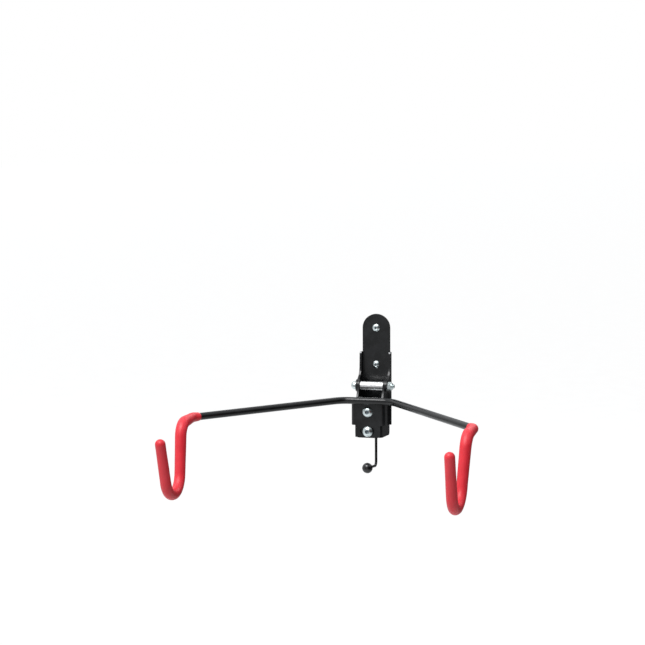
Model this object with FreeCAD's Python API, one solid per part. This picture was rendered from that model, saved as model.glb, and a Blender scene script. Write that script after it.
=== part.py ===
import FreeCAD, Part

import math
import os

from FreeCAD import Rotation, Vector

# Bicycle wall rack: a wall plate, a bracket that folds up about one bolt, and a bent rod
# whose two dipped hooks carry the top tube.
# Millimetres. X is left to right, Y points into the wall, Z is up. The origin is on the back
# face of the wall plate, midway between its two screws. The object stands out towards -Y, and
# "out" below is the distance from the wall, so a point that is 25 out has Y = -25.

# --- Driving dimensions ---------------------------------------------------------------------

SHEET = 2.5                    # wall plate, swing bracket and arm holder
SLIDE_GAP = 0.1                # between flat faces that slide on each other

# Wall plate
SCREW_SPACING = 48.6
NECK_HALF_WIDTH = 18.4
PLATE_TOP = 42.4
EAR_TOP = -7.3
PLATE_BOTTOM = -103.0
EAR_OUTER = 20.75              # X of the ears' outer faces
EAR_BEND = 0.8                 # inside radius of the two bends
EAR_NOSE = 8.0                 # radius of the ears' ends, about the pivot
EAR_UPPER_OUT = 9.5            # how far the ears stand out above the pivot
EAR_LOWER_OUT = 6.0            # and below it
EAR_UPPER_HOLLOW = (14.6, -36.2)    # out and Z of a point on the curve above the nose
EAR_LOWER_HOLLOW = (12.5, -61.5)    # and on the curve below it
EAR_FOOT_DROP = 24.0           # from the pivot down to where the ears' edge runs straight

# Pivot
PIVOT_OUT = 25.0
PIVOT_Z = -49.5
PIVOT_BOLT_R = 3.0
PIVOT_HOLE_R = 3.05
PIVOT_END = 29.8               # X of the bolt's end
PIVOT_HEAD_R = 5.3
PIVOT_HEAD_HEIGHT = 7.2
PIVOT_HEAD_RIM = 3.8           # height of the straight side under the dome
PIVOT_SOCKET = 4.0             # across the flats of the hex socket
PIVOT_SOCKET_DEPTH = 2.4
PIVOT_NUT_FLATS = 10.0
PIVOT_NUT_HEIGHT = 6.4
PIVOT_INSERT_R = 4.1
PIVOT_INSERT_DEPTH = 1.9
SPACER_R = 5.65

# Swing bracket
SWING_OUTER = 18.1             # X of the cheeks' outer faces
SWING_FACE_OUT = 46.9
SWING_BEND = 1.5
SWING_NOSE = 7.8
SWING_REAR_OUT = 3.4
SWING_FACE_TOP = -70.0
SWING_FRONT_BOTTOM = -114.0
SWING_REAR_BOTTOM = -116.5
SWING_HOLLOW = (37.2, -61.0)   # out and Z of a point on the curve below the nose
SWING_HEEL = 4.0               # rounding of the lower rear corner

# Arm holder
HOLDER_OUTER = 22.3
HOLDER_BEND = 2.5
HOLDER_TOP = -62.5
HOLDER_FLANGE_TOP = -66.0
HOLDER_FLANGE_BOTTOM = -98.0
HOLDER_FLANGE_DEPTH = 15.5
HOLDER_BOTTOM = -114.2
HOLDER_TAB_HALF_WIDTH = 16.6
HOLDER_CORNER = 5.0

# Clamp bolts, the lower one in an arc slot about the upper one
CLAMP_BOLT_R = 4.0
CLAMP_HOLE_R = 4.1
CLAMP_UPPER_Z = -80.4
CLAMP_PITCH = 25.6
CLAMP_HEAD_R = 6.9
CLAMP_HEAD_HEIGHT = 4.2
CLAMP_HEAD_RIM = 0.7
CLAMP_SOCKET = 5.0
CLAMP_SOCKET_DEPTH = 2.6
SLOT_HALF_ANGLE = 13.5         # degrees
SLOT_HALF_WIDTH = 4.3
CLAMP_LENGTH = 20.0
CLAMP_WASHER_R = 8.0
CLAMP_WASHER = 1.6
CLAMP_NUT_FLATS = 13.0
CLAMP_NUT_HEIGHT = 8.0
CLAMP_INSERT_R = 5.4
CLAMP_INSERT_DEPTH = 2.4

# Arm rod
ROD_R = 4.5
ROD_SEAT = 0.2                 # how deep the rod is sunk in the arm holder's face
BAR_Z = -65.4
ELBOW_X = 33.3
SHOULDER = (174.4, 232.2, -66.0)    # X, out and Z, like the four below
HOOK_TOP = (174.0, 273.7, -67.6)
HOOK_HEEL = (170.4, 291.7, -147.4)
HOOK_TOE = (170.0, 333.5, -143.8)
HOOK_TIP = (170.7, 353.2, -79.2)
ELBOW_BEND = 25.0
SHOULDER_BEND = 9.5
HOOK_TOP_BEND = 19.2
HOOK_BEND = 26.0

# Dipped hook covers, thickest at the top of the hook
COVER_NECK_R = 6.0
COVER_SHANK_R = 7.1
COVER_BEND_R = 6.6
COVER_TIP_R = 6.2
COVER_LIP = 1.2                # rounding of the cover's mouth
COVER_LAP = 10.3               # how far the cover reaches past the shoulder, along the arm

# Helmet hook
WIRE_R = 1.75
WIRE_TOP = -84.0
WIRE_BOTTOM = -158.6
WIRE_BEND = 6.0
WIRE_SEAT = 0.15
BALL_R = 6.8
BALL_OUT = 51.0
BALL_Z = -153.5

# Wall screws
SCREW_THREAD_R = 2.25
SCREW_NECK_R = 1.9             # the plain part under the head, inside the sheet
SCREW_HOLE_R = 2.7
SCREW_HEAD_R = 5.0
SCREW_HEAD_HEIGHT = 3.0
SCREW_HEAD_RIM = 0.8
SCREW_LENGTH = 40.0
SCREW_POINT = 7.0              # length of the tapered point
RECESS_WIDTH = 1.1             # cross recess
RECESS_LENGTH = 5.4
RECESS_DEPTH = 1.7
RECESS_TURN = 20               # degrees from upright

HOLDER_FACE_OUT = SWING_FACE_OUT + SLIDE_GAP + SHEET
BAR_OUT = HOLDER_FACE_OUT + ROD_R - ROD_SEAT
CLAMP_LOWER_Z = CLAMP_UPPER_Z - CLAMP_PITCH
CLAMP_NUT_SEAT = SWING_FACE_OUT - SHEET - CLAMP_WASHER
HOOK_RADII = [SHOULDER_BEND, HOOK_TOP_BEND, HOOK_BEND, HOOK_BEND]

X_AXIS = Vector(1, 0, 0)
OUTWARD = Vector(0, -1, 0)
UP = Vector(0, 0, 1)


# --- Helpers --------------------------------------------------------------------------------

def at(x, out, z):
    """A point given by its distance from the wall."""
    return Vector(x, -out, z)


def placed(shape, origin, direction):
    """A shape built along +Z, moved to origin and turned to run along direction."""
    moved = shape.copy()
    moved.Placement = FreeCAD.Placement(origin, Rotation(UP, direction))
    return moved


def cylinder(radius, length, origin, direction):
    return Part.makeCylinder(radius, length, origin, direction)


def ring(outer, inner, length, origin, direction):
    bore = cylinder(inner, length, origin, direction)
    return cylinder(outer, length, origin, direction).cut(bore)


def line(a, b):
    return Part.LineSegment(a, b).toShape()


def arc(a, middle, b):
    return Part.Arc(a, middle, b).toShape()


def on_circle(centre, radius, toward):
    """The point of a circle about centre that lies towards another point."""
    return centre + (toward - centre).normalize() * radius


def slab(edges, thickness, direction):
    """A closed outline, extruded."""
    return Part.Face(Part.Wire(edges)).extrude(direction * thickness)


def channel(outer_half, sheet, inside_bend, out_web, out_ends, z_low, z_high):
    """A folded U seen from above: its web is out_web from the wall, its ends at out_ends."""
    toward_ends = 1 if out_ends > out_web else -1
    outer_bend = inside_bend + sheet

    def half_outline(half, bend, web):
        start = web + toward_ends * bend
        centre = Vector(half - bend, -start, z_low)
        corner = Vector(half, -web, z_low)
        return [at(half, out_ends, z_low), at(half, start, z_low),
                on_circle(centre, bend, corner), at(half - bend, web, z_low)]

    def mirrored(point):
        return Vector(-point.x, point.y, point.z)

    outer = half_outline(outer_half, outer_bend, out_web)
    inner = half_outline(outer_half - sheet, inside_bend, out_web + toward_ends * sheet)
    edges = []
    for side in (outer, inner):
        edges.append(line(side[0], side[1]))
        edges.append(arc(side[1], side[2], side[3]))
        edges.append(line(side[3], mirrored(side[3])))
        edges.append(arc(mirrored(side[3]), mirrored(side[2]), mirrored(side[1])))
        edges.append(line(mirrored(side[1]), mirrored(side[0])))
    edges.append(line(outer[0], inner[0]))
    edges.append(line(mirrored(outer[0]), mirrored(inner[0])))
    wire = Part.Wire(Part.__sortEdges__(edges))
    return Part.Face(wire).extrude(UP * (z_high - z_low))


def side_slab(edges):
    """A side outline in the plane X = 0, as a slab wide enough to cover both ears."""
    body = slab(edges, 80, X_AXIS)
    body.translate(Vector(-40, 0, 0))
    return body


def rounded(before, corner, after, radius):
    """Start, middle and end of the arc that rounds the corner of a route."""
    u = (before - corner).normalize()
    v = (after - corner).normalize()
    half = u.getAngle(v) / 2
    bisector = (u + v).normalize()
    centre = corner + bisector * (radius / math.sin(half))
    reach = radius / math.tan(half)
    return corner + u * reach, centre - bisector * radius, corner + v * reach


def route(points, radii):
    """Edges through points: straight runs joined by tangent arcs, one radius per corner."""
    edges = []
    last = points[0]
    for i, radius in enumerate(radii):
        start, middle, end = rounded(points[i], points[i + 1], points[i + 2], radius)
        edges.append(line(last, start))
        edges.append(arc(start, middle, end))
        last = end
    edges.append(line(last, points[-1]))
    return edges


def swept(edges, radius):
    """A round bar along a chain of tangent edges."""
    first = edges[0]
    start = first.valueAt(first.FirstParameter)
    tangent = first.tangentAt(first.FirstParameter)
    section = Part.Wire(Part.makeCircle(radius, start, tangent))
    return Part.Wire(edges).makePipeShell([section], True, False)


def mirrored_copy(shape):
    return shape.mirror(Vector(0, 0, 0), X_AXIS)


def hexagon(across_flats, height):
    """A hex prism along +Z with its corners turned off at both ends."""
    corner = across_flats / math.sqrt(3)
    points = [Vector(corner, 0, 0)]
    for i in range(1, 7):
        angle = math.radians(60 * i)
        points.append(Vector(corner * math.cos(angle), corner * math.sin(angle), 0))
    prism = Part.Face(Part.makePolygon(points)).extrude(UP * height)
    turned = cylinder(corner, height, Vector(0, 0, 0), UP)
    chamfer = (corner - across_flats / 2) * 0.9
    turned = turned.makeChamfer(chamfer, [e for e in turned.Edges if e.Closed])
    return prism.common(turned)


def socket(across_flats, top, depth):
    """A hex recess along +Z, cut down from top, with a conical floor."""
    corner = across_flats / math.sqrt(3)
    floor_z = top - depth
    points = [Vector(corner * math.cos(math.radians(60 * i)),
                     corner * math.sin(math.radians(60 * i)), floor_z) for i in range(7)]
    prism = Part.Face(Part.makePolygon(points)).extrude(UP * (depth + 1))
    cone_depth = depth * 0.4
    cone = Part.makeCone(0.2, across_flats / 2, cone_depth, Vector(0, 0, floor_z - cone_depth))
    return prism.fuse(cone)


def domed_head(radius, height, rim):
    """A button head along +Z: a short rim under a spherical dome."""
    crown = height - rim
    sphere_r = (radius ** 2 + crown ** 2) / (2 * crown)
    ball = Part.makeSphere(sphere_r, Vector(0, 0, height - sphere_r))
    return cylinder(radius, height, Vector(0, 0, 0), UP).common(ball)


# --- Wall plate -----------------------------------------------------------------------------

def ear_outline():
    """Side view of the ears: a low edge that swells to a round nose at the pivot."""
    nose = at(0, PIVOT_OUT, PIVOT_Z)
    top = at(0, EAR_UPPER_OUT, EAR_TOP)
    neck = at(0, EAR_UPPER_OUT + 1.0, EAR_TOP - 20)
    upper_join = on_circle(nose, EAR_NOSE, at(0, PIVOT_OUT - 3, PIVOT_Z + 10))
    upper_hollow = at(0, *EAR_UPPER_HOLLOW)
    tip = at(0, PIVOT_OUT + EAR_NOSE, PIVOT_Z)
    lower_join = on_circle(nose, EAR_NOSE, at(0, PIVOT_OUT - 2, PIVOT_Z - 10))
    lower_hollow = at(0, *EAR_LOWER_HOLLOW)
    foot = at(0, EAR_LOWER_OUT, PIVOT_Z - EAR_FOOT_DROP)
    bottom = at(0, EAR_LOWER_OUT, PLATE_BOTTOM)
    back_bottom = at(0, -1, PLATE_BOTTOM)
    back_top = at(0, -1, EAR_TOP)
    return [line(back_top, top), line(top, neck), arc(neck, upper_hollow, upper_join),
            arc(upper_join, tip, lower_join), arc(lower_join, lower_hollow, foot),
            line(foot, bottom), line(bottom, back_bottom), line(back_bottom, back_top)]


def neck_plate():
    """The flat tongue above the ears, with a round top."""
    arc_z = PLATE_TOP - NECK_HALF_WIDTH
    low = EAR_TOP - 6
    left_low = at(-NECK_HALF_WIDTH, 0, low)
    left = at(-NECK_HALF_WIDTH, 0, arc_z)
    right = at(NECK_HALF_WIDTH, 0, arc_z)
    right_low = at(NECK_HALF_WIDTH, 0, low)
    edges = [line(left_low, left), arc(left, at(0, 0, PLATE_TOP), right),
             line(right, right_low), line(right_low, left_low)]
    return slab(edges, SHEET, OUTWARD)


def helmet_wire():
    """The wire of the helmet hook: down the plate, then out and a little up to the ball."""
    wire_out = SHEET + WIRE_R - WIRE_SEAT
    top = at(0, wire_out, WIRE_TOP)
    corner = at(0, wire_out, WIRE_BOTTOM)
    end = at(0, BALL_OUT, BALL_Z)
    return swept(route([top, corner, end], [WIRE_BEND]), WIRE_R)


def wall_plate():
    folded = channel(EAR_OUTER, SHEET, EAR_BEND, 0, PIVOT_OUT + EAR_NOSE + 2,
                     PLATE_BOTTOM, EAR_TOP)
    plate = folded.common(side_slab(ear_outline())).fuse(neck_plate())
    for z in (SCREW_SPACING / 2, -SCREW_SPACING / 2):
        plate = plate.cut(cylinder(SCREW_HOLE_R, SHEET + 2, at(0, -1, z), OUTWARD))
    plate = plate.cut(cylinder(PIVOT_HOLE_R, 60, at(-30, PIVOT_OUT, PIVOT_Z), X_AXIS))
    return plate.cut(helmet_wire()).removeSplitter()


def wall_screw(z):
    """A pan head wood screw with a cross recess, driven through the plate."""
    head = domed_head(SCREW_HEAD_R, SCREW_HEAD_HEIGHT, SCREW_HEAD_RIM)
    corner = Vector(-RECESS_LENGTH / 2, -RECESS_WIDTH / 2, SCREW_HEAD_HEIGHT - RECESS_DEPTH)
    for turn in (RECESS_TURN, RECESS_TURN + 90):
        slot = Part.makeBox(RECESS_LENGTH, RECESS_WIDTH, SCREW_HEAD_HEIGHT, corner)
        slot.rotate(Vector(0, 0, 0), UP, turn)
        head = head.cut(slot)
    neck = cylinder(SCREW_NECK_R, SHEET, Vector(0, 0, -SHEET), UP)
    point_z = SCREW_POINT - SCREW_LENGTH
    thread = cylinder(SCREW_THREAD_R, -SHEET - point_z, Vector(0, 0, point_z), UP)
    tip = Part.makeCone(0.2, SCREW_THREAD_R, SCREW_POINT, Vector(0, 0, -SCREW_LENGTH))
    screw = head.fuse([neck, thread, tip]).removeSplitter()
    return placed(screw, at(0, SHEET, z), OUTWARD)


# --- Pivot ----------------------------------------------------------------------------------

def pivot_bolt():
    """A bolt along +X from its domed head at the left ear to its end past the nut."""
    head = domed_head(PIVOT_HEAD_R, PIVOT_HEAD_HEIGHT, PIVOT_HEAD_RIM)
    head = head.cut(socket(PIVOT_SOCKET, PIVOT_HEAD_HEIGHT, PIVOT_SOCKET_DEPTH))
    head_seat = at(-EAR_OUTER, PIVOT_OUT, PIVOT_Z)
    shank = cylinder(PIVOT_BOLT_R, EAR_OUTER + PIVOT_END, head_seat, X_AXIS)
    end = [e for e in shank.Edges if e.Closed and e.CenterOfMass.x > 0]
    shank = shank.makeChamfer(0.7, end)
    return shank.fuse(placed(head, head_seat, X_AXIS * -1)).removeSplitter()


def pivot_nut():
    seat = at(EAR_OUTER, PIVOT_OUT, PIVOT_Z)
    nut = placed(hexagon(PIVOT_NUT_FLATS, PIVOT_NUT_HEIGHT), seat, X_AXIS)
    nut = nut.cut(cylinder(PIVOT_BOLT_R, 10, seat, X_AXIS))
    pocket = at(EAR_OUTER + PIVOT_NUT_HEIGHT - PIVOT_INSERT_DEPTH, PIVOT_OUT, PIVOT_Z)
    return nut.cut(cylinder(PIVOT_INSERT_R, 5, pocket, X_AXIS))


def pivot_nut_insert():
    start = at(EAR_OUTER + PIVOT_NUT_HEIGHT - PIVOT_INSERT_DEPTH, PIVOT_OUT, PIVOT_Z)
    return ring(PIVOT_INSERT_R, PIVOT_BOLT_R, PIVOT_INSERT_DEPTH - 0.4, start, X_AXIS)


def pivot_spacer():
    half = SWING_OUTER - SHEET - SLIDE_GAP
    start = at(-half, PIVOT_OUT, PIVOT_Z)
    return ring(SPACER_R, PIVOT_BOLT_R, 2 * half, start, X_AXIS)


# --- Swing bracket --------------------------------------------------------------------------

def cheek_outline():
    """Side view of the swing bracket: a nose at the pivot, a front face and a rear stop."""
    nose = at(0, PIVOT_OUT, PIVOT_Z)
    front_nose = on_circle(nose, SWING_NOSE, at(0, PIVOT_OUT + 10, PIVOT_Z + 1))
    crown = at(0, PIVOT_OUT, PIVOT_Z + SWING_NOSE)
    rear_nose = on_circle(nose, SWING_NOSE, at(0, PIVOT_OUT - 10, PIVOT_Z + 3))
    front_hollow = at(0, *SWING_HOLLOW)
    front_top = at(0, SWING_FACE_OUT + 1, SWING_FACE_TOP)
    front_bottom = at(0, SWING_FACE_OUT + 1, SWING_FRONT_BOTTOM)
    rear = at(0, SWING_REAR_OUT, PIVOT_Z - EAR_FOOT_DROP)
    heel = rounded(front_bottom, at(0, SWING_REAR_OUT, SWING_REAR_BOTTOM), rear, SWING_HEEL)
    return [arc(rear_nose, crown, front_nose), arc(front_nose, front_hollow, front_top),
            line(front_top, front_bottom), line(front_bottom, heel[0]), arc(*heel),
            line(heel[2], rear), line(rear, rear_nose)]


def swing_bracket():
    bracket = channel(SWING_OUTER, SHEET, SWING_BEND, SWING_FACE_OUT, 0,
                      SWING_REAR_BOTTOM - 1, PIVOT_Z + SWING_NOSE + 1)
    bracket = bracket.common(side_slab(cheek_outline()))
    bracket = bracket.cut(cylinder(PIVOT_HOLE_R, 60, at(-30, PIVOT_OUT, PIVOT_Z), X_AXIS))
    for z in (CLAMP_UPPER_Z, CLAMP_LOWER_Z):
        bracket = bracket.cut(cylinder(CLAMP_BOLT_R, 20, at(0, 35, z), OUTWARD))
    return bracket.removeSplitter()


# --- Clamp bolts ----------------------------------------------------------------------------

def clamp_bolt(z):
    """A button head bolt, head outwards, with a hex socket."""
    head = domed_head(CLAMP_HEAD_R, CLAMP_HEAD_HEIGHT, CLAMP_HEAD_RIM)
    head = head.cut(socket(CLAMP_SOCKET, CLAMP_HEAD_HEIGHT, CLAMP_SOCKET_DEPTH))
    shank = cylinder(CLAMP_BOLT_R, CLAMP_LENGTH, Vector(0, 0, -CLAMP_LENGTH), UP)
    end = [e for e in shank.Edges if e.Closed and e.CenterOfMass.z < -1]
    bolt = head.fuse(shank.makeChamfer(0.8, end)).removeSplitter()
    return placed(bolt, at(0, HOLDER_FACE_OUT + SLIDE_GAP, z), OUTWARD)


def clamp_washer(z):
    return ring(CLAMP_WASHER_R, CLAMP_BOLT_R, CLAMP_WASHER, at(0, CLAMP_NUT_SEAT, z), OUTWARD)


def clamp_nut(z):
    seat = at(0, CLAMP_NUT_SEAT, z)
    nut = placed(hexagon(CLAMP_NUT_FLATS, CLAMP_NUT_HEIGHT), seat, OUTWARD * -1)
    nut = nut.cut(cylinder(CLAMP_BOLT_R, 12, seat, OUTWARD * -1))
    pocket = at(0, CLAMP_NUT_SEAT - CLAMP_NUT_HEIGHT + CLAMP_INSERT_DEPTH, z)
    return nut.cut(cylinder(CLAMP_INSERT_R, 6, pocket, OUTWARD * -1))


def clamp_nut_insert(z):
    start = at(0, CLAMP_NUT_SEAT - CLAMP_NUT_HEIGHT + CLAMP_INSERT_DEPTH, z)
    length = CLAMP_INSERT_DEPTH - 0.5
    return ring(CLAMP_INSERT_R, CLAMP_BOLT_R, length, start, OUTWARD * -1)


# --- Arm rod and arm holder -----------------------------------------------------------------

def hook_points():
    """Corners of the right arm, from its shoulder to the tip of its hook."""
    return [at(*SHOULDER), at(*HOOK_TOP), at(*HOOK_HEEL), at(*HOOK_TOE), at(*HOOK_TIP)]


def arm_rod():
    """One bent rod: hook, arm, bar, arm and hook."""
    right = [at(ELBOW_X, BAR_OUT, BAR_Z)] + hook_points()
    left = [Vector(-p.x, p.y, p.z) for p in reversed(right)]
    radii = [ELBOW_BEND] + HOOK_RADII
    return swept(route(left + right, radii[::-1] + radii), ROD_R)


def tapered(edge, start_radius, end_radius):
    """A cone along a straight edge."""
    start = edge.valueAt(edge.FirstParameter)
    run = edge.valueAt(edge.LastParameter) - start
    return Part.makeCone(start_radius, end_radius, run.Length, start, run)


def hook_cover(rod):
    """The dip coating on the right hook, from past its shoulder to its round tip."""
    elbow = at(ELBOW_X, BAR_OUT, BAR_Z)
    points = hook_points()
    shoulder = points[0]
    start = shoulder + (elbow - shoulder).normalize() * COVER_LAP
    edges = route([start] + points, HOOK_RADII)
    neck = swept(edges[:2], COVER_NECK_R)
    swell = tapered(edges[2], COVER_NECK_R, COVER_SHANK_R)
    top = swept(edges[3:4], COVER_SHANK_R)
    shank = tapered(edges[4], COVER_SHANK_R, COVER_BEND_R)
    bend = swept(edges[5:8], COVER_BEND_R)
    leg = tapered(edges[8], COVER_BEND_R, COVER_TIP_R)
    mouth = [e for e in neck.Edges if e.Closed and (e.CenterOfMass - start).Length < 0.5]
    neck = neck.makeFillet(COVER_LIP, mouth)
    tip = Part.makeSphere(COVER_TIP_R, points[-1])
    return neck.fuse([swell, top, shank, bend, leg, tip]).cut(rod).removeSplitter()


def slot_cut():
    """The arc slot for the lower clamp bolt, centred on the upper one."""
    centre = Vector(0, 0, CLAMP_UPPER_Z)

    def polar(radius, angle):
        turn = math.radians(angle)
        return centre + Vector(radius * math.sin(turn), 0, -radius * math.cos(turn))

    outer = CLAMP_PITCH + SLOT_HALF_WIDTH
    inner = CLAMP_PITCH - SLOT_HALF_WIDTH
    end = SLOT_HALF_ANGLE
    cap = math.degrees(SLOT_HALF_WIDTH / CLAMP_PITCH)
    edges = [arc(polar(outer, -end), polar(outer, 0), polar(outer, end)),
             arc(polar(outer, end), polar(CLAMP_PITCH, end + cap), polar(inner, end)),
             arc(polar(inner, end), polar(inner, 0), polar(inner, -end)),
             arc(polar(inner, -end), polar(CLAMP_PITCH, -end - cap), polar(outer, -end))]
    return slab(edges, 80, OUTWARD)


def holder_tab():
    """The flat front of the arm holder, with its lower corners rounded."""
    half = HOLDER_TAB_HALF_WIDTH
    out = HOLDER_FACE_OUT - SHEET
    low = HOLDER_BOTTOM
    left_top = at(-half, out, HOLDER_TOP)
    right_top = at(half, out, HOLDER_TOP)
    corners = []
    for sign in (1, -1):
        before = at(sign * half, out, low + 20)
        corner = at(sign * half, out, low)
        corners.append(rounded(before, corner, at(0, out, low), HOLDER_CORNER))
    right, left = corners
    edges = [line(left_top, right_top), line(right_top, right[0]), arc(*right),
             line(right[2], left[2]), arc(left[2], left[1], left[0]),
             line(left[0], left_top)]
    return slab(edges, SHEET, OUTWARD)


def arm_holder(rod):
    """A flat tab with short side flanges that grip the rod and straddle the swing bracket."""
    flanges = channel(HOLDER_OUTER, SHEET, HOLDER_BEND, HOLDER_FACE_OUT,
                      HOLDER_FACE_OUT - HOLDER_FLANGE_DEPTH,
                      HOLDER_FLANGE_BOTTOM, HOLDER_FLANGE_TOP)
    holder = flanges.fuse(holder_tab())
    holder = holder.cut(cylinder(CLAMP_HOLE_R, 80, at(0, 0, CLAMP_UPPER_Z), OUTWARD))
    return holder.cut(slot_cut()).cut(rod).removeSplitter()


# --- Write one file per piece ---------------------------------------------------------------

def build():
    rod = arm_rod()
    cover = hook_cover(rod)
    wire = helmet_wire()
    nodes = {
        "wall_plate": wall_plate(),
        "wall_screw_upper": wall_screw(SCREW_SPACING / 2),
        "wall_screw_lower": wall_screw(-SCREW_SPACING / 2),
        "pivot_bolt": pivot_bolt(),
        "pivot_spacer": pivot_spacer(),
        "pivot_nut": pivot_nut(),
        "pivot_nut_insert": pivot_nut_insert(),
        "swing_bracket": swing_bracket(),
        "arm_holder": arm_holder(rod),
        "arm_rod": rod,
        "hook_cover_right": cover,
        "hook_cover_left": mirrored_copy(cover),
        "helmet_hook_wire": wire,
        "helmet_hook_ball": Part.makeSphere(BALL_R, at(0, BALL_OUT, BALL_Z)).cut(wire),
    }
    for place, z in (("upper", CLAMP_UPPER_Z), ("lower", CLAMP_LOWER_Z)):
        nodes["clamp_bolt_" + place] = clamp_bolt(z)
        nodes["clamp_washer_" + place] = clamp_washer(z)
        nodes["clamp_nut_" + place] = clamp_nut(z)
        nodes["clamp_nut_insert_" + place] = clamp_nut_insert(z)
    return nodes


os.makedirs("parts", exist_ok=True)
for name, shape in build().items():
    shape.exportStep("parts/" + name + ".step")
    print(name, "valid" if shape.isValid() else "INVALID", len(shape.Solids), "solids",
          round(shape.Volume, 1), "mm3")
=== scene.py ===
import math

import bmesh
import bpy
from mathutils import Matrix, Vector, noise


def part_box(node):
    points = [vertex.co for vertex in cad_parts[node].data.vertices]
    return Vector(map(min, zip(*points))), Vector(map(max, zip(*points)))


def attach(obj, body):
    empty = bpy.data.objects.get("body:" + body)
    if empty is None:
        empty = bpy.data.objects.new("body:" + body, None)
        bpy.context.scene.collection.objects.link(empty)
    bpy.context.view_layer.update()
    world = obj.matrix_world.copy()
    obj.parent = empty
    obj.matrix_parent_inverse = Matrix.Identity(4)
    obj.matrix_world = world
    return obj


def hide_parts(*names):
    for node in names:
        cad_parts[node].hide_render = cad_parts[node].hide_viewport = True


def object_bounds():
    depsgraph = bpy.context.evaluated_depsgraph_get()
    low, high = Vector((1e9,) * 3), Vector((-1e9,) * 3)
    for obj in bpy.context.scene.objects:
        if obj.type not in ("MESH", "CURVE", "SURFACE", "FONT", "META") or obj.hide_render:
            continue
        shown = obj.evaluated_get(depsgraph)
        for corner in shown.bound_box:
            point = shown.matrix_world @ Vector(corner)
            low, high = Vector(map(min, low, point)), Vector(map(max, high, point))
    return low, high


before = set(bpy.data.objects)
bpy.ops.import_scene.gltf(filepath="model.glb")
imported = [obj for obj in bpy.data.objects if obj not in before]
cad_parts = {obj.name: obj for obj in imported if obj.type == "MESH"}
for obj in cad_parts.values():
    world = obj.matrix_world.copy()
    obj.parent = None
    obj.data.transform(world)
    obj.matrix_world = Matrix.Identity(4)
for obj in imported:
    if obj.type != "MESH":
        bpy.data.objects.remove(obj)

# Looks of a bicycle wall rack: black powder-coated plates and rod, red vinyl-dipped hooks, zinc-plated
# fasteners. Shapes are written in millimetres in the frame's axes (+Z up, the wall towards +Y) and
# turned into metres when a piece is finished. The studio round the rack is in metres.

CAD_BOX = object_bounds()
MM = 0.001
X_AXIS = Vector((1, 0, 0))
OUTWARD = Vector((0, -1, 0))


def low(node):
    """A CAD node's lowest corner, in millimetres."""
    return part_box(node)[0] / MM


def high(node):
    """A CAD node's highest corner, in millimetres."""
    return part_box(node)[1] / MM


def middle(node):
    """The middle of a CAD node's box, in millimetres."""
    return (low(node) + high(node)) / 2


# --- Sizes, in millimetres --------------------------------------------------------------------

EDGE_SOFTNESS = 0.5                 # rounding of the powder-coated sheet edges
SHARP_CORNER = 42                   # degrees between two faces, above which their edge is rounded
EAR_SPOT_SIZE = 1.8                    # light grey spots at the top corners of the wall plate's ears
EAR_TOP = Vector((19.5, -9.3, -7.5))

ROD_R = 4.5
SHOULDER = (174.4, 232.2, -66.0)    # X, distance from the wall and Z, like the five below
HOOK_TOP = (174.0, 273.7, -67.6)
HOOK_HEEL = (170.4, 291.7, -147.4)
HOOK_TOE = (170.0, 333.5, -143.8)
HOOK_TIP = (170.7, 353.2, -79.2)
ELBOW = (33.3, 53.8, -65.4)
HOOK_RADII = (9.5, 19.2, 26.0, 26.0)
COVER_LAP = 10.3                    # how far a cover runs back along the arm from the shoulder
COVER_LIP = 2.0                     # rounding of its mouth, along the rod
COVER_MOUTH_R = 5.3
COVER_NECK_R = 6.0
COVER_SHANK_R = 7.05
COVER_BEND_R = 6.6
COVER_TIP_R = 6.2

BALL_R = 6.8
BALL_CENTRE = Vector((0, -51.0, -153.5))
BALL_SEAM = 0.06                    # height of its parting line, and half its width
BALL_GATE_R = 0.7
WIRE_R = 1.75
WIRE_CORNER = Vector((0, -4.1, -158.6))

WELD_RIPPLE = 1.5
ROD_WELD_R = 1.7
ROD_WELD_NEAR = 4.5                 # from the middle of the holder, on both sides
ROD_WELD_FAR = 15.5
WIRE_WELD_R = 1.15
WIRE_WELD_X = 1.9
WIRE_WELD_Y = -3.2
WIRE_WELD_BOTTOM = -97.0
WIRE_WELD_TOP = -88.0

SCREW_R = 2.25
SCREW_NECK_R = 1.85
SCREW_HEAD_R = 5.0
SCREW_HEAD_HEIGHT = 3.0
SCREW_HEAD_RIM = 0.8
SCREW_WING = 0.55                   # half the width of a wing of the cross recess
SCREW_RECESS_REACH = 2.5
SCREW_RECESS_DEPTH = 1.9
SCREW_FLOOR_WING = 0.35             # the recess narrows to these at its bottom
SCREW_FLOOR_REACH = 1.5
SCREW_NECK = 2.3
SCREW_THREAD_DEPTH = 0.62
SCREW_POINT = 7.0
SCREW_PITCH = 2.1

PIVOT_R = 3.0
PIVOT_HEAD_R = 5.3
PIVOT_HEAD_RIM = 3.8
PIVOT_SOCKET = 4.0
PIVOT_SOCKET_DEPTH = 2.4
PIVOT_NUT_FLATS = 10.0
PIVOT_INSERT_R = 4.1
PIVOT_INSERT_DEPTH = 1.9
PIVOT_THREAD_INSIDE = 3.0           # how far inside the nut's far face the thread starts
PIVOT_PITCH = 1.0

CLAMP_R = 4.0
CLAMP_HEAD_R = 6.9
CLAMP_HEAD_HEIGHT = 4.2
CLAMP_HEAD_RIM = 0.7
CLAMP_SOCKET = 5.0
CLAMP_SOCKET_DEPTH = 2.6
CLAMP_PLAIN_SHANK = 8.0
CLAMP_NUT_FLATS = 13.0
CLAMP_INSERT_R = 5.4
CLAMP_INSERT_DEPTH = 2.4
CLAMP_PITCH = 1.25
CLAMP_GAP = 0.1                     # between the holder's face and a bolt head's seat

WASHER_CHAMFER = 0.18
SPACER_CHAMFER = 0.4

# --- Studio, in metres ------------------------------------------------------------------------

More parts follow.
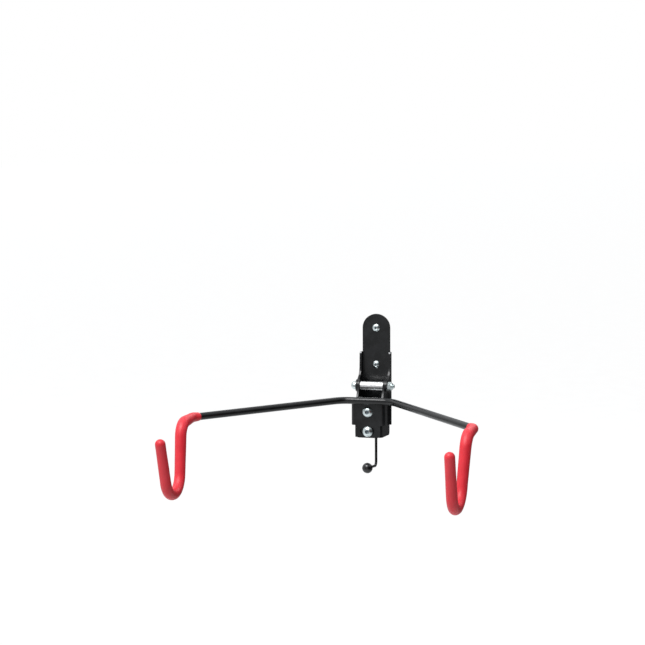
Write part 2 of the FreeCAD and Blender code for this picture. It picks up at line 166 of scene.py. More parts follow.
FLOOR_DROP = 0.30                   # below the rack
FLOOR_RADIUS = 40.0
FLOOR_GLOW = 0.86                   # light of its own, so that it stays pale out to the horizon

LIT_POINT = (0, -0.15, -0.07)
KEY_PLACE = (-0.45, -1.25, 2.0)
KEY_SIZE = (1.5, 1.3)
KEY_RADIANCE = 8.0
BACK_PLACE = (0.3, 1.8, 1.2)
BACK_SIZE = (1.2, 0.8)
BACK_RADIANCE = 2.0

CAMERA_PLACE = Vector((0.57425, -2.31406, 0.28122))
CAMERA_AZIMUTH = math.radians(15.645)
CAMERA_ELEVATION = math.radians(5.989)
CAMERA_ROLL = math.radians(-0.254)
SENSOR_WIDTH = 36.0                 # millimetres, like the next
FOCAL_LENGTH = 101.95


# --- Materials --------------------------------------------------------------------------------

def new_material(name):
    """An empty node material: its tree, its surface shader and its object coordinates."""
    material = bpy.data.materials.new(name)
    material.use_nodes = True
    tree = material.node_tree
    shader = next(n for n in tree.nodes if n.type == "BSDF_PRINCIPLED")
    place = tree.nodes.new("ShaderNodeTexCoord").outputs["Object"]
    return material, tree, shader, place


def add(tree, kind, values, **settings):
    """A node with its inputs set. A value that is another node's output is linked."""
    node = tree.nodes.new("ShaderNode" + kind)
    for key, value in settings.items():
        setattr(node, key, value)
    for socket, value in values.items():
        if isinstance(value, bpy.types.NodeSocket):
            tree.links.new(value, node.inputs[socket])
        else:
            node.inputs[socket].default_value = value
    return node


def grain(tree, place, size, detail=2.0, roughness=0.5, stretch=None):
    """Noise whose features are about size millimetres across, stretched along some axes."""
    if stretch:
        place = add(tree, "Mapping", {"Vector": place, "Scale": stretch}).outputs["Vector"]
    values = {"Vector": place, "Scale": 1 / (size * MM), "Detail": detail, "Roughness": roughness}
    return add(tree, "TexNoise", values).outputs["Fac"]


def spread(tree, factor, dark, light, from_low=0.3, from_high=0.7):
    """Noise turned into a value between dark and light."""
    values = {"Value": factor, "From Min": from_low, "From Max": from_high,
              "To Min": dark, "To Max": light}
    return add(tree, "MapRange", values).outputs["Result"]


def blend_colours(tree, factor, a, b):
    values = {"Factor": factor, "A": a, "B": b}
    return add(tree, "Mix", values, data_type="RGBA").outputs["Result"]


def product(tree, a, b):
    return add(tree, "Math", {0: a, 1: b}, operation="MULTIPLY").outputs["Value"]


def relief(tree, shader, layers):
    """Bumps on top of each other. A layer is (height, depth in millimetres, strength)."""
    normal = None
    for height, depth, strength in layers:
        values = {"Height": height, "Distance": depth * MM, "Strength": strength}
        if normal:
            values["Normal"] = normal
        normal = add(tree, "Bump", values).outputs["Normal"]
    tree.links.new(normal, shader.inputs["Normal"])


def ear_corner_spot(tree, place, sign):
    """1 within a light grey spot at one ear's top corner, fading to 0."""
    corner = Vector((sign * EAR_TOP.x, EAR_TOP.y, EAR_TOP.z)) * MM
    away = add(tree, "VectorMath", {0: place, 1: corner}, operation="DISTANCE").outputs["Value"]
    return spread(tree, away, 1.0, 0.0, EAR_SPOT_SIZE * 0.7 * MM, EAR_SPOT_SIZE * MM)


def powder_coat(name, roughness, colour):
    """Black powder coat: orange peel, fine grit, faint smudges, thin paint along the edges, and light
    grey spots at the top corners of the wall plate's ears."""
    material, tree, shader, place = new_material(name)
    peel = grain(tree, place, 1.9, detail=1.0)
    grit = grain(tree, place, 0.35, detail=2.0)
    smudge = grain(tree, place, 14.0, detail=4.0, roughness=0.6)
    wave = grain(tree, place, 26.0, detail=1.0)
    edge = add(tree, "Attribute", {}, attribute_name="edge").outputs["Fac"]
    chips = spread(tree, grain(tree, place, 1.3, detail=5.0, roughness=0.7), 0.0, 1.0, 0.42, 0.62)
    worn = product(tree, edge, chips)
    ear_spots = [ear_corner_spot(tree, place, sign) for sign in (1, -1)]
    ear_spot_mask = add(tree, "Math", {0: ear_spots[0], 1: ear_spots[1]}, operation="MAXIMUM").outputs["Value"]

    dark = (colour * 0.48, colour * 0.52, colour * 0.56, 1)
    light = (colour * 1.60, colour * 1.72, colour * 1.90, 1)
    thin_paint = (0.10, 0.10, 0.10, 1)
    cloud = blend_colours(tree, spread(tree, smudge, 0.0, 1.0), dark, light)
    # Light grey for the spots at the top corners of the ears.
    spot_grey = (0.62, 0.63, 0.64, 1)
    coated = blend_colours(tree, worn, cloud, thin_paint)
    tree.links.new(blend_colours(tree, ear_spot_mask, coated, spot_grey), shader.inputs["Base Color"])
    tree.links.new(spread(tree, smudge, roughness - 0.08, roughness + 0.16, 0.35, 0.65),
                   shader.inputs["Roughness"])
    shader.inputs["Specular IOR Level"].default_value = 0.42
    relief(tree, shader, [(wave, 0.60, 0.30), (peel, 0.07, 0.40), (grit, 0.015, 0.30)])
    return material


def vinyl_dip():
    """Red plastisol: a soft skin with slow waves from the dip and a very fine matt grain."""
    material, tree, shader, place = new_material("red_vinyl")
    wave = grain(tree, place, 11.0, detail=2.0)
    pores = grain(tree, place, 0.55, detail=2.0)
    cloud = grain(tree, place, 22.0, detail=3.0)
    scuff = grain(tree, place, 3.0, detail=6.0, roughness=0.75)

    deep = (0.66, 0.020, 0.034, 1)
    bright = (0.76, 0.032, 0.050, 1)
    colour = blend_colours(tree, spread(tree, cloud, 0.0, 1.0), deep, bright)
    tree.links.new(colour, shader.inputs["Base Color"])
    tree.links.new(spread(tree, scuff, 0.36, 0.50), shader.inputs["Roughness"])
    shader.inputs["Subsurface Weight"].default_value = 0.16
    shader.inputs["Subsurface Radius"].default_value = (1.0, 0.25, 0.2)
    shader.inputs["Subsurface Scale"].default_value = 1.4 * MM
    shader.inputs["Specular IOR Level"].default_value = 0.45
    relief(tree, shader, [(wave, 0.5, 0.30), (pores, 0.03, 0.22)])
    return material


def zinc_plate():
    """Blue-white zinc plate: a faint mottle, fine pits, uneven gloss, and recess floors darkened by
    painted shade with some dark residue.
    """
    material, tree, shader, place = new_material("zinc_plate")
    mottle = grain(tree, place, 1.6, detail=4.0, roughness=0.65)
    pits = grain(tree, place, 0.25, detail=2.0)
    pale = (0.74, 0.80, 0.79, 1)
    blue = (0.56, 0.64, 0.66, 1)
    # Painted shade in the recesses, with some dark residue: this dark colour is blended in towards their
    # bottoms.
    shade_and_residue_dark = (0.15, 0.18, 0.20, 1)
    recess_shade_and_residue = add(tree, "Attribute", {}, attribute_name="recess_shade_and_residue").outputs["Fac"]
    clean = blend_colours(tree, spread(tree, mottle, 0.0, 1.0), blue, pale)
    tree.links.new(blend_colours(tree, recess_shade_and_residue, clean, shade_and_residue_dark), shader.inputs["Base Color"])
    tree.links.new(spread(tree, mottle, 0.33, 0.22), shader.inputs["Roughness"])
    shader.inputs["Metallic"].default_value = 1.0
    relief(tree, shader, [(mottle, 0.04, 0.30), (pits, 0.01, 0.30)])
    return material


def turned_tube():
    """The bright spacer: cut from tube, with fine lines round it and a soft gloss."""
    material, tree, shader, place = new_material("bright_tube")
    lines = grain(tree, place, 0.30, detail=3.0, stretch=(1.0, 0.02, 0.02))
    patches = grain(tree, place, 5.0, detail=3.0)
    pale = (0.90, 0.90, 0.90, 1)
    grey = (0.78, 0.78, 0.79, 1)
    colour = blend_colours(tree, spread(tree, patches, 0.0, 1.0), grey, pale)
    tree.links.new(colour, shader.inputs["Base Color"])
    tree.links.new(spread(tree, patches, 0.30, 0.42), shader.inputs["Roughness"])
    shader.inputs["Metallic"].default_value = 1.0
    relief(tree, shader, [(lines, 0.02, 0.35)])
    return material


def ball_plastic():
    """Glossy black plastic with a trace of moulding texture."""
    material, tree, shader, place = new_material("black_ball")
    mould = grain(tree, place, 0.6, detail=2.0)
    smear = grain(tree, place, 5.0, detail=4.0)
    colour = blend_colours(tree, spread(tree, smear, 0.0, 1.0),
                           (0.005, 0.005, 0.006, 1), (0.010, 0.011, 0.012, 1))
    tree.links.new(colour, shader.inputs["Base Color"])
    tree.links.new(spread(tree, smear, 0.10, 0.18), shader.inputs["Roughness"])
    shader.inputs["Specular IOR Level"].default_value = 0.6
    relief(tree, shader, [(mould, 0.015, 0.30)])
    return material


def nylon():
    """The pale locking ring inside the nuts."""
    material, tree, shader, place = new_material("nylon")
    fleck = grain(tree, place, 0.8, detail=4.0)
    colour = blend_colours(tree, spread(tree, fleck, 0.0, 1.0),
                           (0.62, 0.66, 0.72, 1), (0.78, 0.80, 0.83, 1))
    tree.links.new(colour, shader.inputs["Base Color"])
    tree.links.new(spread(tree, fleck, 0.40, 0.58), shader.inputs["Roughness"])
    shader.inputs["Subsurface Weight"].default_value = 0.2
    shader.inputs["Subsurface Scale"].default_value = 0.8 * MM
    relief(tree, shader, [(fleck, 0.03, 0.30)])
    return material


def pale_floor():
    material, tree, shader, place = new_material("pale_floor")
    mottle = grain(tree, place, 60.0, detail=5.0)
    colour = blend_colours(tree, spread(tree, mottle, 0.0, 1.0),
                           (0.09, 0.09, 0.09, 1), (0.11, 0.11, 0.11, 1))
    tree.links.new(colour, shader.inputs["Base Color"])
    shader.inputs["Roughness"].default_value = 0.85
    shader.inputs["Emission Color"].default_value = (1, 1, 1, 1)
    shader.inputs["Emission Strength"].default_value = FLOOR_GLOW
    return material


# --- Shapes -----------------------------------------------------------------------------------

def finished(name, bm, material, body, replaces=(), turn=None, origin=None, sharp=35):
    """A piece from a bmesh in millimetres, turned so that its +Z runs along turn from origin."""
    bmesh.ops.recalc_face_normals(bm, faces=bm.faces)
    if turn:
        bm.transform(turn.to_track_quat("Z", "Y").to_matrix().to_4x4())
    if origin:
        bm.transform(Matrix.Translation(origin))
    bm.transform(Matrix.Scale(MM, 4))
    mesh = bpy.data.meshes.new(name)
    bm.to_mesh(mesh)
    bm.free()
    mesh.polygons.foreach_set("use_smooth", [True] * len(mesh.polygons))
    mesh.set_sharp_from_angle(angle=math.radians(sharp))
    mesh.materials.append(material)
    piece = bpy.data.objects.new(name, mesh)
    bpy.context.scene.collection.objects.link(piece)
    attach(piece, body)
    if replaces:
        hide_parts(*replaces)
    return piece


def strip_between(bm, ring, following):
    """Quads between two rings of points."""
    for i in range(len(ring)):
        j = (i + 1) % len(ring)
        bm.faces.new((ring[i], ring[j], following[j], following[i]))


def fill_between(bm, loops):
    """Strips between successive rings of points, and a fan over each open end."""
    for ring, following in zip(loops, loops[1:]):
        strip_between(bm, ring, following)
    for end in (loops[0], loops[-1]):
        centre = sum((v.co for v in end), Vector()) / len(end)
        hub = bm.verts.new(centre)
        for i in range(len(end)):
            bm.faces.new((end[i], end[(i + 1) % len(end)], hub))


def even_angles(count):
    return [2 * math.pi * i / count for i in range(count)]


def turned(rings, angles, hollow=False):
    """A closed form about Z. Each ring is a function from an angle to (radius, height). The last
    ring of a hollow form joins its first."""
    bm = bmesh.new()
    loops = []
    for ring in rings:
        loop = []
        for angle in angles:
            radius, height = ring(angle)
            loop.append(bm.verts.new((radius * math.cos(angle), radius * math.sin(angle), height)))
        loops.append(loop)
    if hollow:
        for ring, following in zip(loops, loops[1:] + loops[:1]):
            strip_between(bm, ring, following)
    else:
        fill_between(bm, loops)
    return bm


def circle(radius, height):
    return lambda angle: (radius, height)


def hexagon(flats, height, cap=math.inf):
    """A hexagon's outline, turned down to the radius cap."""
    def ring(angle):
        from_flat = (angle + math.pi / 6) % (math.pi / 3) - math.pi / 6
        return min(flats / 2 / math.cos(from_flat), cap), height
    return ring


def dome(radius, crown, top):
    """The height of a spherical dome at a distance from its axis."""
    sphere = (radius ** 2 + crown ** 2) / (2 * crown)
    return lambda r: top - sphere + math.sqrt(sphere ** 2 - min(r, radius) ** 2)


def threaded(start, end, radius, pitch, depth, point=0.0, steps=10):
    """Rings of a helical thread along Z. The last stretch, point long, narrows to a tip."""
    count = max(2, round(abs(end - start) / pitch * steps))
    blunt = 0.15
    sharpness = 1.6                 # above 1, the crests are narrower than the roots
    rings = []
    for i in range(count + 1):
        z = start + (end - start) * i / count
        left = abs(end - z)
        narrow = min(1.0, (left + blunt) / point) if point else 1.0

        def ring(angle, z=z, narrow=narrow):
            phase = (z / pitch - angle / (2 * math.pi)) % 1.0
            crest = abs(2 * phase - 1) ** sharpness
            return narrow * (radius - depth * (1 - crest)), z
        rings.append(ring)
    return rings


def straight_and_round(corners, radii, step):
    """Points along straight runs joined by tangent arcs, about step apart."""
    points = [corners[0]]
    for before, corner, after, radius in zip(corners, corners[1:], corners[2:], radii):
        u = (before - corner).normalized()
        v = (after - corner).normalized()
        half = u.angle(v) / 2
        reach = radius / math.tan(half)
        centre = corner + (u + v).normalized() * (radius / math.sin(half))
        start = corner + u * reach
        sweep = math.pi - 2 * half
        axis = (start - centre).cross(corner + v * reach - centre).normalized()
        points += even_run(points[-1], start, step)
        count = max(2, round(radius * sweep / step))
        for i in range(1, count + 1):
            points.append(centre + Matrix.Rotation(sweep * i / count, 3, axis) @ (start - centre))
    return points + even_run(points[-1], corners[-1], step)


def even_run(a, b, step):
    """Points from a, which is left out, to b."""
    count = max(1, round((b - a).length / step))
    return [a.lerp(b, i / count) for i in range(1, count + 1)]


def tube(points, radius_at, sides, unevenness):
    """A round form along points. radius_at gives the radius at a distance along them, and
    unevenness what is added to it at a place."""
    bm = bmesh.new()
    loops = []
    travelled = 0.0
    tangent = (points[1] - points[0]).normalized()
    across = tangent.orthogonal().normalized()
    for i, point in enumerate(points):
        after = points[min(i + 1, len(points) - 1)]
        before = points[max(i - 1, 0)]
        tangent = (after - before).normalized()
        across = (across - tangent * across.dot(tangent)).normalized()
        other = tangent.cross(across)
        if i:
            travelled += (point - points[i - 1]).length
        loop = []
        for angle in even_angles(sides):
            spoke = across * math.cos(angle) + other * math.sin(angle)
            radius = radius_at(travelled)
            radius += unevenness(point + spoke * radius)
            loop.append(bm.verts.new(point + spoke * radius))
        loops.append(loop)
    fill_between(bm, loops)
    return bm


def smoothstep(value, start, end):
    t = min(1.0, max(0.0, (value - start) / (end - start)))
    return t * t * (3 - 2 * t)


def length_of(points):
    return sum((b - a).length for a, b in zip(points, points[1:]))


# --- Powder-coated sheet parts ----------------------------------------------------------------

def softened(node, material, body):
    """A copy of a CAD node with rounded edges. Its attribute edge is 1 along them."""
    bm = bmesh.new()
    bm.from_mesh(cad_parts[node].data)
    bm.transform(Matrix.Scale(1 / MM, 4))
    bmesh.ops.remove_doubles(bm, verts=bm.verts, dist=0.002)
    bmesh.ops.dissolve_limit(bm, angle_limit=math.radians(0.6), verts=bm.verts, edges=bm.edges)
    corners = [e for e in bm.edges
               if len(e.link_faces) == 2 and e.calc_face_angle() > math.radians(SHARP_CORNER)]
    made = bmesh.ops.bevel(bm, geom=corners, offset=EDGE_SOFTNESS, offset_type="OFFSET",
                           segments=3, profile=0.5, affect="EDGES", clamp_overlap=True)
    rounding = set(made["faces"])
    edge = bm.verts.layers.float.new("edge")
    for vertex in bm.verts:
        vertex[edge] = float(all(face in rounding for face in vertex.link_faces))
    piece = finished(node + "_coated", bm, material, body, [node], sharp=60)
    weighted = piece.modifiers.new("even_normals", "WEIGHTED_NORMAL")
    weighted.keep_sharp = True
    weighted.weight = 100
    return piece


def weld_bead(name, start, end, radius, material, body):
    """A short fillet weld: a row of overlapping ripples that thins at both ends."""
    points = [start] + even_run(start, end, 0.25)
    total = length_of(points)
    run_out = 1.6 * radius
    valley = 0.86                   # a ripple's lowest point, as a share of the radius

    def radius_at(distance):
        taper = min(1.0, math.sqrt(max(0.02, min(distance, total - distance) / run_out)))
        return radius * taper * (valley + (1 - valley) * math.sqrt(distance / WELD_RIPPLE % 1.0))

    bm = tube(points, radius_at, 20, lambda p: 0.08 * noise.noise(p * 0.9))
    return finished(name, bm, material, body, sharp=80)


# --- Hooks ------------------------------------------------------------------------------------

def out_point(sign, point):
    """A point given as X, distance from the wall and Z, on the right (1) or left (-1) arm."""
    x, out, z = point
    return Vector((sign * x, -out, z))


def hook_cover(side, sign, material):
    """The dipped skin: thin at its mouth, full at the top of the shank, thinner to the tip."""
    elbow = out_point(sign, ELBOW)
    corners = [out_point(sign, p) for p in (SHOULDER, HOOK_TOP, HOOK_HEEL, HOOK_TOE, HOOK_TIP)]
    mouth = corners[0] + (elbow - corners[0]).normalized() * COVER_LAP
    path = straight_and_round([mouth] + corners, HOOK_RADII, 1.1)
    total = length_of(path)
    neck_end = COVER_LAP
    swell_end = neck_end + (corners[1] - corners[0]).length - HOOK_RADII[1] / 2
    leg_start = total - (corners[4] - corners[3]).length
    bend_start = leg_start - 2 * HOOK_RADII[2]
    final = (corners[-1] - corners[-2]).normalized()
    dome_steps = 9
    for i in range(1, dome_steps):
        path.append(corners[-1] + final * COVER_TIP_R * math.sin(math.pi / 2 * i / dome_steps))

    def radius_at(distance):
        if distance > total:
            beyond = min(COVER_TIP_R, distance - total)
            return max(0.3, math.sqrt(COVER_TIP_R ** 2 - beyond ** 2))
        lip = math.sqrt(min(1.0, distance / COVER_LIP + 0.02))
        radius = COVER_MOUTH_R + (COVER_NECK_R - COVER_MOUTH_R) * smoothstep(distance, 0, neck_end)
        radius += (COVER_SHANK_R - COVER_NECK_R) * smoothstep(distance, neck_end, swell_end)
        radius += (COVER_BEND_R - COVER_SHANK_R) * smoothstep(distance, swell_end, bend_start)
        radius += (COVER_TIP_R - COVER_BEND_R) * smoothstep(distance, leg_start, total)
        return ROD_R + (radius - ROD_R) * lip

    def unevenness(p):
        """Slow sags of the dip, which differ from side to side, and finer waves."""
        side_shift = Vector((sign * 7.0, 0, 0))
        return 0.10 * noise.noise(p * 0.06 + side_shift) + 0.03 * noise.noise(p * 0.22)

    bm = tube(path, radius_at, 40, unevenness)
    return finished("hook_dip_" + side, bm, material, "arms",
                    ["hook_cover_" + side], sharp=50)


# --- Helmet hook ------------------------------------------------------------------------------

def ball_rings():
    """A moulded ball about Z: a collar at the wire's end, a parting line, a gate mark."""
    collar = 0.9 - BALL_R
    first = math.radians(-72)
    seam = math.radians(1.4)
    last = math.radians(82)

    def latitudes(start, end, count):
        angles = [start + (end - start) * i / count for i in range(count + 1)]
        return [circle(BALL_R * math.cos(angle), BALL_R * math.sin(angle)) for angle in angles]

    parting_line = [circle(BALL_R + BALL_SEAM, side * BALL_SEAM) for side in (-1, 1)]
    gate = BALL_R * math.sin(last)
    return ([circle(WIRE_R - 0.1, collar), circle(WIRE_R + 0.15, collar)]
            + latitudes(first, -seam, 20) + parting_line + latitudes(seam, last, 22)
            + [circle(BALL_GATE_R, gate + 0.03), circle(BALL_GATE_R - 0.1, gate - 0.12)])


def helmet_ball(material):
    along = (BALL_CENTRE - WIRE_CORNER).normalized()
    bm = turned(ball_rings(), even_angles(64))
    return finished("helmet_ball", bm, material, "wall",
                    ["helmet_hook_ball"], turn=along, origin=BALL_CENTRE, sharp=40)


# --- Fasteners --------------------------------------------------------------------------------

def mark_recess_shade_and_residue(bm, reach, floor):
    """Marks the bottom of a head's recess, which goes down to the height floor, where painted shade and
    some dark residue darken the zinc.
    """
    recess_shade_and_residue = bm.verts.layers.float.new("recess_shade_and_residue")
    for vertex in bm.verts:
        vertex[recess_shade_and_residue] = float(0 < vertex.co.z < floor + 0.05 and vertex.co.xy.length < reach)


def cross_angles():
    """Angles round a screw, with some on the corners of its cross recess."""
    wing = math.degrees(math.atan2(SCREW_WING, SCREW_RECESS_REACH))
    between = [18, 25, 32, 38.5, 45, 51.5, 58, 65, 72]
    quarter = [0, wing / 2, wing] + between + [90 - wing, 90 - wing / 2]
    return [math.radians(angle + 90 * i) for i in range(4) for angle in quarter]


def cross(width, reach):
    """The outline of a cross whose wings are 2 * width wide, as a radius at each angle."""
    def radius(angle):
        off_wing = abs((angle + math.pi / 4) % (math.pi / 2) - math.pi / 4)
        if off_wing < math.atan2(width, reach) + 1e-6:
            return reach / math.cos(off_wing)
        return width / math.sin(off_wing)
    return radius


def wall_screw_rings():
    """A pan-head wood screw about Z, with its seat at 0 and its point below."""
    face = dome(SCREW_HEAD_R, SCREW_HEAD_HEIGHT - SCREW_HEAD_RIM, SCREW_HEAD_HEIGHT)
    bottom = SCREW_HEAD_HEIGHT - SCREW_RECESS_DEPTH
    opening = cross(SCREW_WING, SCREW_RECESS_REACH)
    floor = cross(SCREW_FLOOR_WING, SCREW_FLOOR_REACH)
    lead_in = 0.07
    edge = 0.12
    rings = [lambda a: (floor(a) * 0.5, bottom - 0.35),
             lambda a: (floor(a), bottom),
             lambda a: (opening(a), face(opening(a)) - 0.06)]
    steps = 8
    for i in range(steps + 1):
        def ring(a, t=i / steps):
            radius = (opening(a) + lead_in) * (1 - t) + (SCREW_HEAD_R - edge) * t
            return radius, face(radius)
        rings.append(ring)
    rings += [circle(SCREW_HEAD_R, SCREW_HEAD_RIM - 0.05), circle(SCREW_HEAD_R, edge),
              circle(SCREW_HEAD_R - edge, 0.0), circle(SCREW_NECK_R, 0.0),
              circle(SCREW_NECK_R, -SCREW_NECK)]
    length = high("wall_screw_upper").y - low("wall_screw_upper").y - SCREW_HEAD_HEIGHT
    return rings + threaded(-SCREW_NECK - 0.1, -length, SCREW_R, SCREW_PITCH, SCREW_THREAD_DEPTH,
                            SCREW_POINT)


def wall_screw(place, material):
    node = "wall_screw_" + place
    seat = Vector((0, low("wall_screw_upper").y + SCREW_HEAD_HEIGHT, middle(node).z))
    bm = turned(wall_screw_rings(), cross_angles())
    mark_recess_shade_and_residue(bm, SCREW_RECESS_REACH, SCREW_HEAD_HEIGHT - SCREW_RECESS_DEPTH)
    return finished("screw_" + place, bm, material, "wall", [node],
                    turn=OUTWARD, origin=seat)


def socket_head(radius, height, rim, socket, depth):
    """Rings of a button head about Z: socket floor first, down to the edge of its seat."""
    face = dome(radius, height - rim, height)
    drill_point = socket * 0.28
    edge = 0.15
    rings = [circle(0.25, height - depth - drill_point), hexagon(socket, height - depth)]
    mouth = hexagon(socket, 0)
    for widen, drop in ((0.0, 0.12), (0.18, 0.012)):
        rings.append(lambda a, w=widen, d=drop: (mouth(a)[0] + w, face(mouth(a)[0] + w) - d))
    steps = 10
    for i in range(1, steps + 1):
        def ring(a, t=i / steps):
            r = (mouth(a)[0] + 0.25) * (1 - t) + (radius - 0.1) * t
            return r, face(r)
        rings.append(ring)
    return rings + [circle(radius, rim * 0.85), circle(radius, edge), circle(radius - edge, 0.0)]


def bolt_rings(head, shank_r, plain, length, pitch):
    """A bolt about Z: a head, then a plain shank to plain, then thread to a chamfered end."""
    depth = 0.55 * pitch
    run_out = 0.8                   # from the last ring of thread to the end
    chamfer = 0.35
    rings = head + [circle(shank_r, 0.0), circle(shank_r, -plain)]
    rings += threaded(-plain - 0.1, run_out - length, shank_r, pitch, depth)
    return rings + [circle(shank_r - depth, chamfer - length),
                    circle(shank_r - depth - chamfer, -length)]


def clamp_bolt(place, material):
    node = "clamp_bolt_" + place
    seat_y = low("arm_holder").y - CLAMP_GAP
    length = high(node).y - seat_y
    head = socket_head(CLAMP_HEAD_R, CLAMP_HEAD_HEIGHT, CLAMP_HEAD_RIM, CLAMP_SOCKET,
                       CLAMP_SOCKET_DEPTH)
    bm = turned(bolt_rings(head, CLAMP_R, CLAMP_PLAIN_SHANK, length, CLAMP_PITCH), even_angles(60))
    mark_recess_shade_and_residue(bm, CLAMP_SOCKET, CLAMP_HEAD_HEIGHT - CLAMP_SOCKET_DEPTH)
    return finished("bolt_" + place, bm, material, "swing", [node],
                    turn=OUTWARD, origin=Vector((0, seat_y, middle(node).z)))


def pivot_bolt(material):
    seat_x = low("wall_plate").x
    cut_off = 0.3                   # the top of the head's dome, which its socket takes away
    height = seat_x - low("pivot_bolt").x + cut_off
    length = high("pivot_bolt").x - seat_x
    plain = high("pivot_nut").x - seat_x - PIVOT_THREAD_INSIDE
    head = socket_head(PIVOT_HEAD_R, height, PIVOT_HEAD_RIM, PIVOT_SOCKET, PIVOT_SOCKET_DEPTH)
    bm = turned(bolt_rings(head, PIVOT_R, plain, length, PIVOT_PITCH), even_angles(60))
    mark_recess_shade_and_residue(bm, PIVOT_SOCKET, height - PIVOT_SOCKET_DEPTH)
    axis = middle("pivot_bolt")
    return finished("pivot", bm, material, "wall", ["pivot_bolt"],
                    turn=-X_AXIS, origin=Vector((seat_x, axis.y, axis.z)))


def nut_rings(flats, height, bore, insert_r, insert_depth):
    """A locking nut about Z: a hexagon turned down at both ends, with a round collar on top."""
    widest = flats / math.sqrt(3) + 0.05
    collar_start = height - insert_depth * 0.75
    wall = 0.45
    cone = 0.84                     # height of the turned-down corners

    def corner_cut(z, share):
        return hexagon(flats, z, flats / 2 + (widest - flats / 2) * share)

    rings = [circle(bore, 0.25), circle(bore + 0.35, 0.0), circle(flats / 2 - 0.2, 0.0)]
    rings += [corner_cut(cone * i / 6, i / 6) for i in range(7)]
    rings += [corner_cut(collar_start - cone * (1 - i / 5), 1 - i / 5) for i in range(6)]
    collar_r = insert_r + wall
    lip_r = insert_r - wall
    return rings + [circle(collar_r, collar_start + 0.15), circle(collar_r, height - 0.5),
                    circle(collar_r - 0.15, height - 0.15), circle(insert_r - 0.1, height),
                    circle(lip_r, height - 0.12), circle(lip_r, height - 0.42),
                    circle(bore, height - 0.42)]


def clamp_nut(place, material):
    node = "clamp_nut_" + place
    rings = nut_rings(CLAMP_NUT_FLATS, high(node).y - low(node).y, CLAMP_R, CLAMP_INSERT_R,
                      CLAMP_INSERT_DEPTH)
    return finished("nut_" + place, turned(rings, even_angles(72), hollow=True), material,
                    "swing", [node],
                    turn=-OUTWARD, origin=Vector((0, low(node).y, middle(node).z)))


def pivot_nut(material):
    node = "pivot_nut"
    rings = nut_rings(PIVOT_NUT_FLATS, high(node).x - low(node).x, PIVOT_R, PIVOT_INSERT_R,
                      PIVOT_INSERT_DEPTH)
    return finished("pivot_lock_nut", turned(rings, even_angles(72), hollow=True), material,
                    "wall", [node],
                    turn=X_AXIS, origin=Vector((low(node).x, middle(node).y, middle(node).z)))


def flat_ring(name, node, inner, outer, thickness, chamfer, turn, origin, material, body):
    """A washer or a short tube with chamfered edges."""
    rings = [circle(inner, chamfer), circle(inner + chamfer, 0), circle(outer - chamfer, 0),
             circle(outer, chamfer), circle(outer, thickness - chamfer),
             circle(outer - chamfer, thickness), circle(inner + chamfer, thickness),
             circle(inner, thickness - chamfer)]
    return finished(name, turned(rings, even_angles(72), hollow=True), material, body, [node],
                    turn=turn, origin=origin)


# --- Build the rack ---------------------------------------------------------------------------

coat = powder_coat("black_coat", 0.24, 0.006)
rod_coat = powder_coat("black_coat_rod", 0.15, 0.006)
zinc = zinc_plate()
tube_zinc = turned_tube()
red = vinyl_dip()
locking_nylon = nylon()

for node, body in (("wall_plate", "wall"), ("swing_bracket", "swing"), ("arm_holder", "arms")):
    softened(node, coat, body)

for node in ("arm_rod", "helmet_hook_wire"):
    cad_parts[node].data.materials[0] = rod_coat
for node in ("pivot_nut_insert", "clamp_nut_insert_upper", "clamp_nut_insert_lower"):
    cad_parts[node].data.materials[0] = locking_nylon

hook_cover("right", 1, red)
hook_cover("left", -1, red)
helmet_ball(ball_plastic())

for place in ("upper", "lower"):
    wall_screw(place, zinc)
    clamp_bolt(place, zinc)
    clamp_nut(place, zinc)
    washer = "clamp_washer_" + place
    flat_ring("washer_" + place, washer, CLAMP_R, high(washer).x,
              high(washer).y - low(washer).y, WASHER_CHAMFER, OUTWARD,
              Vector((0, high(washer).y, middle(washer).z)), zinc, "swing")
pivot_bolt(zinc)
pivot_nut(zinc)
spacer = "pivot_spacer"
flat_ring("spacer_tube", spacer, PIVOT_R, (high(spacer).z - low(spacer).z) / 2,
          high(spacer).x - low(spacer).x, SPACER_CHAMFER, X_AXIS,
          Vector((low(spacer).x, middle(spacer).y, middle(spacer).z)),
          tube_zinc, "wall")

# Welds: the rod to the top of its holder, and the helmet wire to the wall plate.
weld_y = low("arm_holder").y + 0.4
weld_z = high("arm_holder").z + 0.1
for side, start_x, end_x in (("left", -ROD_WELD_FAR, -ROD_WELD_NEAR),
                             ("right", ROD_WELD_NEAR, ROD_WELD_FAR)):
    weld_bead("rod_weld_" + side, Vector((start_x, weld_y, weld_z)), Vector((end_x, weld_y, weld_z)),
              ROD_WELD_R, rod_coat, "arms")
for side, x in (("left", -WIRE_WELD_X), ("right", WIRE_WELD_X)):
    weld_bead("wire_weld_" + side, Vector((x, WIRE_WELD_Y, WIRE_WELD_BOTTOM)),
              Vector((x, WIRE_WELD_Y, WIRE_WELD_TOP)), WIRE_WELD_R,
              rod_coat, "wall")


# --- Floor, lights and camera -----------------------------------------------------------------

floor_mesh = bpy.data.meshes.new("floor")
floor_bm = bmesh.new()
bmesh.ops.create_circle(floor_bm, cap_ends=True, radius=FLOOR_RADIUS, segments=96)
floor_bm.to_mesh(floor_mesh)
floor_bm.free()
floor = bpy.data.objects.new("floor", floor_mesh)
floor.location.z = CAD_BOX[0][2] - FLOOR_DROP
floor.data.materials.append(pale_floor())
bpy.context.scene.collection.objects.link(floor)
floor.visible_diffuse = False      # the studio's own bounce light comes from the world below
floor.visible_glossy = False


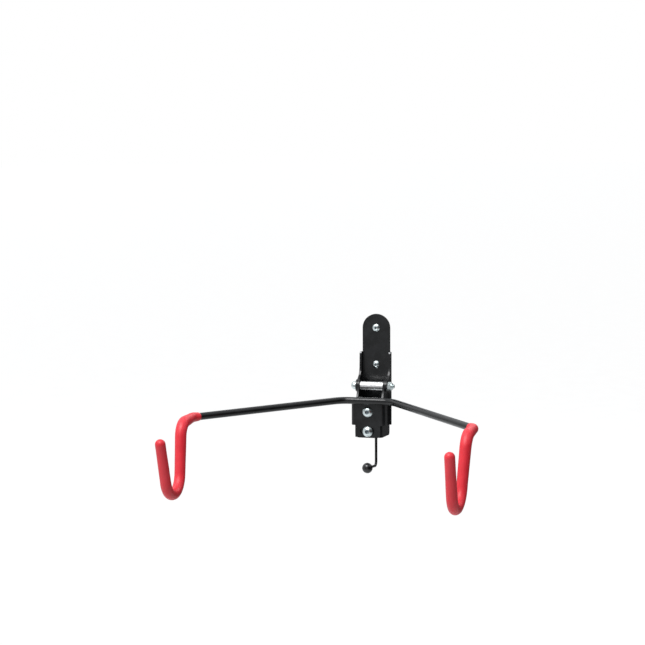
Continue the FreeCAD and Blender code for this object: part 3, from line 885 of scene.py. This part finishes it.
def softbox(name, position, size, radiance):
    """A soft rectangular light, aimed at the rack, of a given brightness per unit of its area."""
    light = bpy.data.lights.new(name, "AREA")
    light.shape = "RECTANGLE"
    light.size, light.size_y = size
    light.energy = radiance * math.pi * size[0] * size[1]
    lamp = bpy.data.objects.new(name, light)
    lamp.location = position
    aim = Vector(LIT_POINT) - Vector(position)
    lamp.rotation_euler = aim.to_track_quat("-Z", "Y").to_euler()
    bpy.context.scene.collection.objects.link(lamp)


softbox("key", KEY_PLACE, KEY_SIZE, KEY_RADIANCE)
softbox("back", BACK_PLACE, BACK_SIZE, BACK_RADIANCE)


def lobe(tree, direction, toward, start, end, outside, inside):
    """Goes from outside to inside as a direction turns towards another. Start and end are cosines."""
    aim = Vector(toward).normalized()
    cosine = add(tree, "VectorMath", {0: direction, 1: aim}, operation="DOT_PRODUCT").outputs["Value"]
    values = {"Value": cosine, "From Min": start, "From Max": end, "To Min": outside, "To Max": inside}
    return add(tree, "MapRange", values, interpolation_type="SMOOTHSTEP").outputs["Result"]


def studio_world():
    """Light from all round: bright overhead, below, in front and on the left, with a dark gap in
    front on the right. The camera sees an even white backdrop instead."""
    world = bpy.data.worlds.new("studio")
    world.use_nodes = True
    tree = world.node_tree
    lighting = tree.nodes["Background"]
    direction = tree.nodes.new("ShaderNodeTexCoord").outputs["Generated"]
    total = lobe(tree, direction, (0, 0, -1), 0.1, 0.85, 0.06, 0.90)
    for part in (lobe(tree, direction, (0, 0, 1), 0.1, 0.95, 0.0, 0.9),
                 lobe(tree, direction, (-0.3, -1, 0), 0.1, 0.9, 0.0, 0.50),
                 lobe(tree, direction, (-0.85, 0.45, 0), 0.2, 0.9, 0.0, 0.60)):
        total = add(tree, "Math", {0: total, 1: part}).outputs["Value"]
    gap = lobe(tree, direction, (0.74, -0.62, 0.25), 0.80, 0.92, 1.0, 0.12)
    tree.links.new(product(tree, total, gap), lighting.inputs["Strength"])
    lighting.inputs["Color"].default_value = (0.96, 0.98, 1.0, 1)
    backdrop = add(tree, "Background", {"Color": (1, 1, 1, 1), "Strength": 1.0})
    seen = tree.nodes.new("ShaderNodeLightPath").outputs["Is Camera Ray"]
    mix = add(tree, "MixShader", {0: seen, 1: lighting.outputs[0], 2: backdrop.outputs[0]})
    output = next(n for n in tree.nodes if n.type == "OUTPUT_WORLD")
    tree.links.new(mix.outputs[0], output.inputs["Surface"])
    bpy.context.scene.world = world


studio_world()

view = bpy.context.scene.view_settings
view.view_transform = "Standard"
view.look = "None"

camera_data = bpy.data.cameras.new("camera")
camera_data.sensor_width = SENSOR_WIDTH
camera_data.lens = FOCAL_LENGTH
camera = bpy.data.objects.new("camera", camera_data)
bpy.context.scene.collection.objects.link(camera)
turn = (Matrix.Rotation(CAMERA_AZIMUTH, 4, "Z") @ Matrix.Rotation(math.pi / 2 - CAMERA_ELEVATION, 4, "X")
        @ Matrix.Rotation(CAMERA_ROLL, 4, "Z"))
camera.matrix_world = Matrix.Translation(CAMERA_PLACE) @ turn
bpy.context.scene.camera = camera
